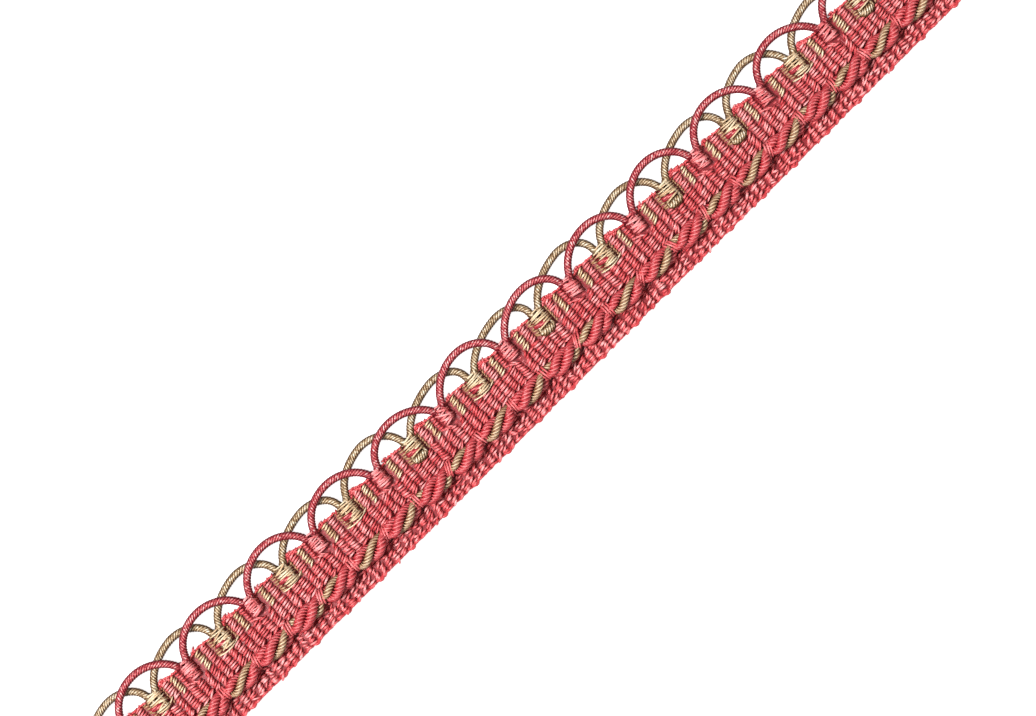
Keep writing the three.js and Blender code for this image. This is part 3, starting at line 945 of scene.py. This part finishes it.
PLY_SIZES = {
    "Radius": PLY_RADIUS * MM, "Threads": 5, "Points": 4, "Groove": 0.6, "Lead": 2.6 * MM,
    "Step": 0.12 * MM, "Side Shade": 1.35}
for ply, (name, thread) in enumerate((("sand_ply", sand), ("rose_ply_a", rose),
                                      ("rose_ply_b", rose))):
    line = ply_line(ply)
    grow(name, line_host(name, [line]), cord_tree, thread, PLY_SIZES)
    print(name, "is", round(route_length(line["points"])), "mm long")

# %% [markdown]
# ## Knots
#
# Where a cord is bound in, the warp threads of that place float over both of its legs and pull
# them down. One pad with grooves would be cheaper, but its outline would be too even. So each
# float is its own strand here: it comes out of the weave, climbs over the legs and goes in again.
# Three short strands slant away at the lower left of every rose knot.

# %% One strand
SHARES = (-1.0, -0.94, -0.78, -0.5, -0.18, 0.18, 0.5, 0.78, 0.94, 1.0)
DOME_POWER = 2.6
STRAND_END_THICK = 0.65
STRAND_SIZES = {
    "Radius": 0.17 * MM, "Threads": 1, "Points": 7, "Groove": 0.0, "Lead": 1.1 * MM,
    "Step": 0.19 * MM, "Side Shade": 0.6}


def smooth_line(stations, steps):
    """Points on a smooth curve through the stations, which are tuples of any length."""
    padded = [stations[0]] + list(stations) + [stations[-1]]
    found = [tuple(stations[0])]
    for a, b, c, d in zip(padded, padded[1:], padded[2:], padded[3:]):
        for step in range(1, steps + 1):
            t = step / steps
            found.append(tuple(
                0.5 * (2 * q + (r - p) * t + (2 * p - 5 * q + 4 * r - s) * t * t
                       + (3 * q - p - 3 * r + s) * t ** 3)
                for p, q, r, s in zip(a, b, c, d)))
    return found


def strand(stations, tone, steps=4):
    """A line for the cord tree, from stations of x, y, z and thickness."""
    smooth = smooth_line(stations, steps)
    return {"points": [station[:3] for station in smooth],
            "thick": [station[3] for station in smooth], "tone": tone}


def strand_over(x, y, span, heights, tone, slope=0.0, sag=0.0, thick=1.0):
    """A strand that climbs out of the weave, lies over what is below and dives in again."""
    middle, half = (span[0] + span[1]) / 2, (span[1] - span[0]) / 2
    stations = []
    for share in SHARES:
        dome = math.sqrt(1 - abs(share) ** DOME_POWER)
        swell = STRAND_END_THICK + (1 - STRAND_END_THICK) * dome
        stations.append((
            x + middle + half * share, y + slope * half * share - sag * (1 - share * share),
            heights[0] + (heights[1] - heights[0]) * dome, thick * swell))
    return strand(stations, tone)


print("strand radius", STRAND_SIZES["Radius"] / MM, "mm")

# %% Strands of the rose knots
ROSE_KNOT_ROWS = 9
ROSE_KNOT_TOP_Y = 3.86
ROSE_KNOT_ROW_PITCH = 0.335
ROSE_KNOT_CROWN = 1.5
SLANTING = [
    {"at": (-1.6, 0.95), "slope": -0.5}, {"at": (-1.05, 0.72), "slope": -0.7},
    {"at": (-0.55, 0.6), "slope": -0.8},
]


def rose_knot_lines(uneven):
    """The rows of every rose knot, with the short strands that slant away below it."""
    lines = []
    for repeat in range(REPEATS):
        x = rose_knot_x(repeat)
        knot_slope = uneven.gauss(-0.1, 0.09)
        for row in range(ROSE_KNOT_ROWS):
            y = ROSE_KNOT_TOP_Y - row * ROSE_KNOT_ROW_PITCH + uneven.uniform(-0.09, 0.09)
            narrow = 0.15 if row == ROSE_KNOT_ROWS - 1 else 0.0
            span = (-1.0 + narrow + uneven.uniform(-0.22, 0.1),
                    0.98 - narrow + uneven.uniform(-0.1, 0.16))
            lines.append(strand_over(
                x, y, span, (0.5, ROSE_KNOT_CROWN + uneven.uniform(-0.08, 0.1) - narrow),
                uneven.uniform(-0.1, 0.75), slope=knot_slope + uneven.gauss(0, 0.15),
                sag=uneven.uniform(-0.12, 0.14), thick=uneven.uniform(0.8, 1.15)))
        for row in SLANTING:
            if abs(x + row["at"][0]) < LENGTH / 2 - 0.7:
                lines.append(strand_over(
                    x + row["at"][0], row["at"][1] + uneven.uniform(-0.08, 0.08), (-0.42, 0.42),
                    (0.4, 0.85), uneven.uniform(-0.1, 0.4), slope=row["slope"], thick=0.9))
    return lines


grow("rose_knots", line_host("rose knots", rose_knot_lines(random.Random(31))), cord_tree, rose,
     STRAND_SIZES)

# %% [markdown]
# A sand knot has the same rows, but the turn of its cord shows below them. On some knots it stands
# out as a round bobble. On the others a few loose strands cross it, and one hangs below them. A
# little of the rose warp shows between the rows, over a hollow whose shade is painted: thick, very
# dark rose strands lie in it.

# %% Rows of the sand knots
SAND_KNOT_ROWS = [
    {"y": 3.76, "span": (-1.2, 1.15)}, {"y": 3.38, "span": (-1.4, 1.2)},
    {"y": 3.0, "span": (-1.5, 1.2)}, {"y": 2.62, "span": (-1.5, 1.2)},
    {"y": 2.25, "span": (-1.4, 1.15)}, {"y": 1.92, "span": (-0.5, 1.15)},
]
OVER_BOBBLE_ROW = {"y": 1.42, "span": (-1.5, 1.05)}
ROSE_IN_SAND_ROWS = [
    {"y": 2.0, "span": (-1.65, -0.35), "crown": 1.62},
    {"y": 1.7, "span": (-1.2, 0.2), "crown": 1.6},
]
HOLLOW_SHADE_ROWS = [
    {"y": 1.95, "span": (-1.7, 0.3), "crown": 1.4},
    {"y": 1.66, "span": (-1.7, 0.7), "crown": 1.38},
]
CROSSING_ROWS = [
    {"y": 1.5, "span": (-1.0, 0.85), "sag": -0.08}, {"y": 1.22, "span": (-1.35, 1.0), "sag": 0.04},
    {"y": 0.98, "span": (-1.2, 1.05), "sag": 0.14},
]
HANGING_ROW = {"y": 0.9, "span": (-2.2, 1.75), "sag": 0.42}
SAND_STRAND_RADIUS = 0.15
ROSE_STROKE_RADIUS = 0.14
print(len(SAND_KNOT_ROWS), "rows over each sand knot")


# %% Strands of the sand knots
def sand_knot_lines(uneven):
    """The rows of every sand knot, and what crosses the turn of its cord."""
    lines = []
    for repeat in range(REPEATS):
        x = sand_knot_x(repeat)
        for row in SAND_KNOT_ROWS:
            span = [end + uneven.uniform(-0.08, 0.08) for end in row["span"]]
            lines.append(strand_over(
                x, row["y"] + uneven.uniform(-0.07, 0.07), span,
                (0.5, 1.54 + uneven.uniform(-0.06, 0.06)), uneven.uniform(-0.2, 0.8),
                slope=uneven.gauss(-0.03, 0.09), sag=uneven.uniform(-0.1, 0.1),
                thick=uneven.uniform(0.85, 1.15)))
        if SAND_TURNS[repeat] == "crossed":
            for row in CROSSING_ROWS:
                lines.append(strand_over(
                    x, row["y"] + uneven.uniform(-0.05, 0.05), row["span"], (0.6, 1.62),
                    uneven.uniform(0.0, 0.8), slope=uneven.gauss(0.05, 0.12), sag=row["sag"]))
            row = HANGING_ROW
            lines.append(strand_over(
                x, row["y"] + uneven.uniform(-0.1, 0.1), row["span"], (0.7, 1.1), 0.6,
                slope=uneven.gauss(0.04, 0.07), sag=row["sag"], thick=0.9))
        else:
            row = OVER_BOBBLE_ROW
            lines.append(strand_over(x, row["y"], row["span"], (0.6, 1.72), 0.2, slope=0.08))
    return lines


def rose_in_sand_lines(rows, tone, thick, uneven):
    """Strands of rose warp that show in every sand knot, or with a very low tone the painted shade
    of the hollow below them.
    """
    lines = []
    for repeat in range(REPEATS):
        for row in rows:
            lines.append(strand_over(
                sand_knot_x(repeat), row["y"] + uneven.uniform(-0.05, 0.05), row["span"],
                (0.7, row["crown"]), tone + uneven.uniform(-0.2, 0.2),
                slope=uneven.uniform(-0.28, -0.02), thick=thick))
    return lines


grow("sand_knots", line_host("sand knots", sand_knot_lines(random.Random(32))), cord_tree, sand,
     {**STRAND_SIZES, "Radius": SAND_STRAND_RADIUS * MM})
stroke_lines = rose_in_sand_lines(ROSE_IN_SAND_ROWS, 0.1, 0.95, random.Random(33))
# Painted shade: thick strands of very dark rose fill the hollow under the rows.
hollow_shade_lines = rose_in_sand_lines(HOLLOW_SHADE_ROWS, -2.0, 1.9, random.Random(34))
grow("rose_strokes", line_host("rose strokes", stroke_lines), cord_tree, rose,
     {**STRAND_SIZES, "Radius": ROSE_STROKE_RADIUS * MM})
grow("knot_hollow_shade", line_host("knot hollow shade", hollow_shade_lines), cord_tree, rose_gimp,
     {**STRAND_SIZES, "Radius": ROSE_STROKE_RADIUS * MM, "Step": 0.26 * MM})

# %% [markdown]
# ## Ties
#
# The twisted cord is held by the same rose thread. Three strands come up beside it, cross it
# steeply and go down on the other side. At every second tie they lean to the right.

# %% Strands of the ties
TIE_STRANDS = 3
TIE_SPACING = 0.42
TIE_LEANS = (-0.15, 0.45)
TIE_STRAND_RADIUS = 0.165
TIE_WIDENING = 1.08
TIE_ANGLES = (10, 30, 50, 70, 90, 110, 130, 150, 170, 190)


def tie_lines(uneven):
    """The strands of every tie, bent round the twisted cord where it is drawn in."""
    lines = []
    bound = (PLY_OFFSET + PLY_RADIUS) * (1 - TIE_PINCH)
    for number_of_tie, tie in enumerate(ties):
        lean = TIE_LEANS[number_of_tie % 2] + uneven.gauss(0, 0.2)
        for number in range(TIE_STRANDS):
            x = tie + (number - (TIE_STRANDS - 1) / 2) * TIE_SPACING + uneven.uniform(-0.05, 0.05)
            reach = bound + TIE_STRAND_RADIUS * uneven.uniform(0.1, 0.7)
            stations = []
            for angle in map(math.radians, TIE_ANGLES):
                stations.append((
                    x + lean * math.cos(angle),
                    CORD_Y + TIE_SHIFT + TIE_WIDENING * reach * math.cos(angle),
                    CORD_BED_Z + bound + reach * math.sin(angle), 1.0))
            lines.append(strand(stations, uneven.uniform(-0.5, 0.2), steps=3))
    return lines


grow(
    "tie_strands", line_host("ties", tie_lines(random.Random(41))), cord_tree, rose,
    {**STRAND_SIZES, "Radius": TIE_STRAND_RADIUS * MM})

# %% [markdown]
# ## Edge threads
#
# At the loop edge the ribs end in short rose strokes. Their line swells a little after each rose
# knot and more after each sand knot, where it is two rows deep over darker backing strands. At
# the foot the weft turns back round the last warp thread, and its dark bends make the lower edge
# a row of small bumps. Two bumps of each repeat stand out further. One ribbon along each edge
# would be simpler, but its outline would be smooth.

# %% Lines of the two edges
# How far past a rose knot, and how high above the loop edge.
EDGE_HEIGHTS = [
    [(1.0, -0.1), (1.6, 0.0), (1.95, 0.3), (2.35, 0.42), (2.8, 0.2), (3.4, 0.06), (4.6, 0.0),
     (5.2, -0.1)],
    [(7.8, -0.1), (8.1, 0.32), (8.45, 0.6), (8.9, 0.64), (9.3, 0.48), (9.8, 0.26), (10.4, 0.1),
     (11.1, 0.02), (11.8, -0.08)],
]
EDGE_STROKE_SPACING = 0.3
EDGE_STROKE_REACH = 0.52
EDGE_ROW_DEPTHS = (0.1, 0.42)
TWO_ROWS_ABOVE = 0.24
# Stations of the backing strands: past the knot, above the edge, z and thickness.
EDGE_BACKING = [
    [(1.9, -0.15, 0.6, 1.0), (2.1, 0.0, 0.75, 1.1), (2.4, 0.06, 0.75, 1.1), (2.7, -0.1, 0.6, 1.0)],
    [(8.15, -0.2, 0.6, 1.0), (8.4, 0.2, 0.8, 1.1), (8.85, 0.28, 0.85, 1.15), (9.25, 0.1, 0.8, 1.1),
     (9.6, -0.15, 0.6, 1.0)],
    [(8.1, -0.1, 0.6, 1.1), (8.5, -0.06, 0.7, 1.3), (8.9, 0.0, 0.75, 1.3), (9.4, -0.04, 0.7, 1.3),
     (10.0, -0.1, 0.6, 1.1)],
]
EDGE_BACKING_TONE = -0.9
FOOT_TURN_HALF = 0.62
FOOT_TURN_REACH = -0.03
FOOT_PROUD_TURNS = (2.8, 9.1)
FOOT_PROUD_TONE = -1.7
# Across the bend, inward from the edge of the foot, and z.
FOOT_TURN_SHAPE = (
    (-1.0, 0.35, 0.35), (-0.8, 0.12, 0.6), (-0.4, -0.7, 0.75), (0.0, -1.0, 0.8),
    (0.4, -0.7, 0.75), (0.8, 0.12, 0.6), (1.0, 0.35, 0.35))
highest = max(height for line in EDGE_HEIGHTS for x, height in line)
print("the loop edge stands proud by up to", highest, "mm")


# %% Floats along the loop edge
def edge_floats():
    """Short floats along the loop edge, and a second row where the edge stands proud."""
    floats = []
    for repeat in range(REPEATS):
        for heights in EDGE_HEIGHTS:
            for (x, height), (next_x, next_height) in zip(heights, heights[1:]):
                steps = max(1, round((next_x - x) / EDGE_STROKE_SPACING))
                for step in range(steps):
                    share = step / steps
                    rise = height + (next_height - height) * share
                    at_x = rose_knot_x(repeat) + x + (next_x - x) * share
                    if abs(at_x) > LENGTH / 2 - 0.4:
                        continue
                    for lower in EDGE_ROW_DEPTHS if rise > TWO_ROWS_ABOVE else EDGE_ROW_DEPTHS[:1]:
                        floats.append({
                            "at": (at_x, LOOP_EDGE_Y + rise - lower + wander.uniform(-0.06, 0.06),
                                   wander.uniform(0.4, 0.52)),
                            "lean": math.radians(wander.gauss(8, 24)),
                            "reach": EDGE_STROKE_REACH, "tone": wander.uniform(-1.3, -0.2)})
    return floats


grow(
    "edge_strokes", float_host("edge strokes", edge_floats()), float_tree, rose,
    {**WEAVE_SIZES, "Seed": 17})


# %% Strands of the two edges
def foot_turn(x, reach, tone, thick):
    """A bend of weft at the edge of the foot."""
    stations = [(x + FOOT_TURN_HALF * across, FOOT_EDGE_Y + reach * inward, z, thick)
                for across, inward, z in FOOT_TURN_SHAPE]
    return strand(stations, tone, steps=3)


def edge_lines(uneven):
    """Backing strands of the loop edge, and the bends of weft along the foot."""
    lines = []
    for repeat in range(REPEATS):
        for route in EDGE_BACKING:
            stations = [(rose_knot_x(repeat) + x, LOOP_EDGE_Y + y, z, thick)
                        for x, y, z, thick in route
                        if abs(rose_knot_x(repeat) + x) < LENGTH / 2 - 0.1]
            if len(stations) > 3:
                lines.append(strand(stations, EDGE_BACKING_TONE))
        for x in FOOT_PROUD_TURNS:
            place = rose_knot_x(repeat) + x
            if abs(place) < LENGTH / 2 - 1:
                lines.append(foot_turn(place, uneven.uniform(0.2, 0.32), FOOT_PROUD_TONE, 1.3))
    for column in range(FOOT_COLUMNS):
        x = -LENGTH / 2 + (column + 0.5) * FOOT_COLUMN_PITCH
        reach = FOOT_TURN_REACH + uneven.uniform(-0.08, 0.08)
        lines.append(foot_turn(x, reach, uneven.uniform(-2.2, -1.3), uneven.uniform(0.95, 1.25)))
    return lines


grow(
    "edge_strands", line_host("edge", edge_lines(random.Random(51))), cord_tree, rose,
    {**STRAND_SIZES, "Radius": 0.18 * MM})

# %% [markdown]
# ## Underside
#
# The back of the braid shows the same rep weave, flat, because nothing floats on it. Its floats
# hang below the slab and are what the braid rests on.

# %% Floats of the underside
BACK_ROW_PITCH = 0.6
BACK_FLOAT_Z = 0.36
BACK_LEAN = math.radians(-6)
BACK_MARGIN = 0.25


def back_floats():
    """Floats below the slab, turned over so that they bend downwards."""
    floats = []
    rows = int((LOOP_EDGE_Y - FOOT_EDGE_Y - 0.3) / BACK_ROW_PITCH)
    for rib in ribs:
        for row in range(rows):
            y = LOOP_EDGE_Y - BACK_MARGIN - (row + 0.5 * (rib % 2)) * BACK_ROW_PITCH
            floats.append({"at": (rib_x(rib), y, BACK_FLOAT_Z), "roll": math.pi,
                           "lean": BACK_LEAN, "tone": wander.uniform(-0.2, 0.2)})
    return floats


grow(
    "underside_floats", float_host("underside", back_floats()), float_tree, rose,
    {"Length": 1.7 * MM, "Radius": 0.2 * MM, "Rise": 0.16 * MM, "Taper": 0.35, "Sides": 5,
     "Steps": 3, "Unevenness": 0.04, "Seed": 13})

# %% [markdown]
# ## Pieces
#
# Every piece rides on the one body and stands for the CAD nodes whose place it fills.

# %% Pieces and triangles
for name, slot, node in (
        ("woven_ground", "rose_weave", "ground_braid"),
        ("ribbed_floats", "rose_weave", "ground_braid"),
        ("rose_strip_floats", "rose_weave", "ground_braid"),
        ("sand_strip_floats", "sand_gimp", "ground_braid"),
        ("foot_floats", "rose_weave", "ground_braid"),
        ("underside_floats", "rose_weave", "ground_braid"),
        ("rose_knots", "rose_weave", "ground_braid"),
        ("sand_knots", "sand_gimp", "ground_braid"),
        ("rose_strokes", "rose_weave", "ground_braid"),
        ("knot_hollow_shade", "rose_weave", "ground_braid"),
        ("tie_strands", "rose_weave", "ground_braid"),
        ("edge_strands", "rose_weave", "ground_braid"),
        ("edge_strokes", "rose_weave", "ground_braid"),
        ("rose_loop_cord", "rose_gimp", "pink_loop_cord"),
        ("sand_loop_cord", "sand_gimp", "beige_loop_cord"),
        ("sand_ply", "twisted_cord", "twisted_cord"),
        ("rose_ply_a", "twisted_cord", "twisted_cord"),
        ("rose_ply_b", "twisted_cord", "twisted_cord")):
    finish_piece(bpy.data.objects[name], slot, node)

print("triangles in all", sum(made_triangles.values()))
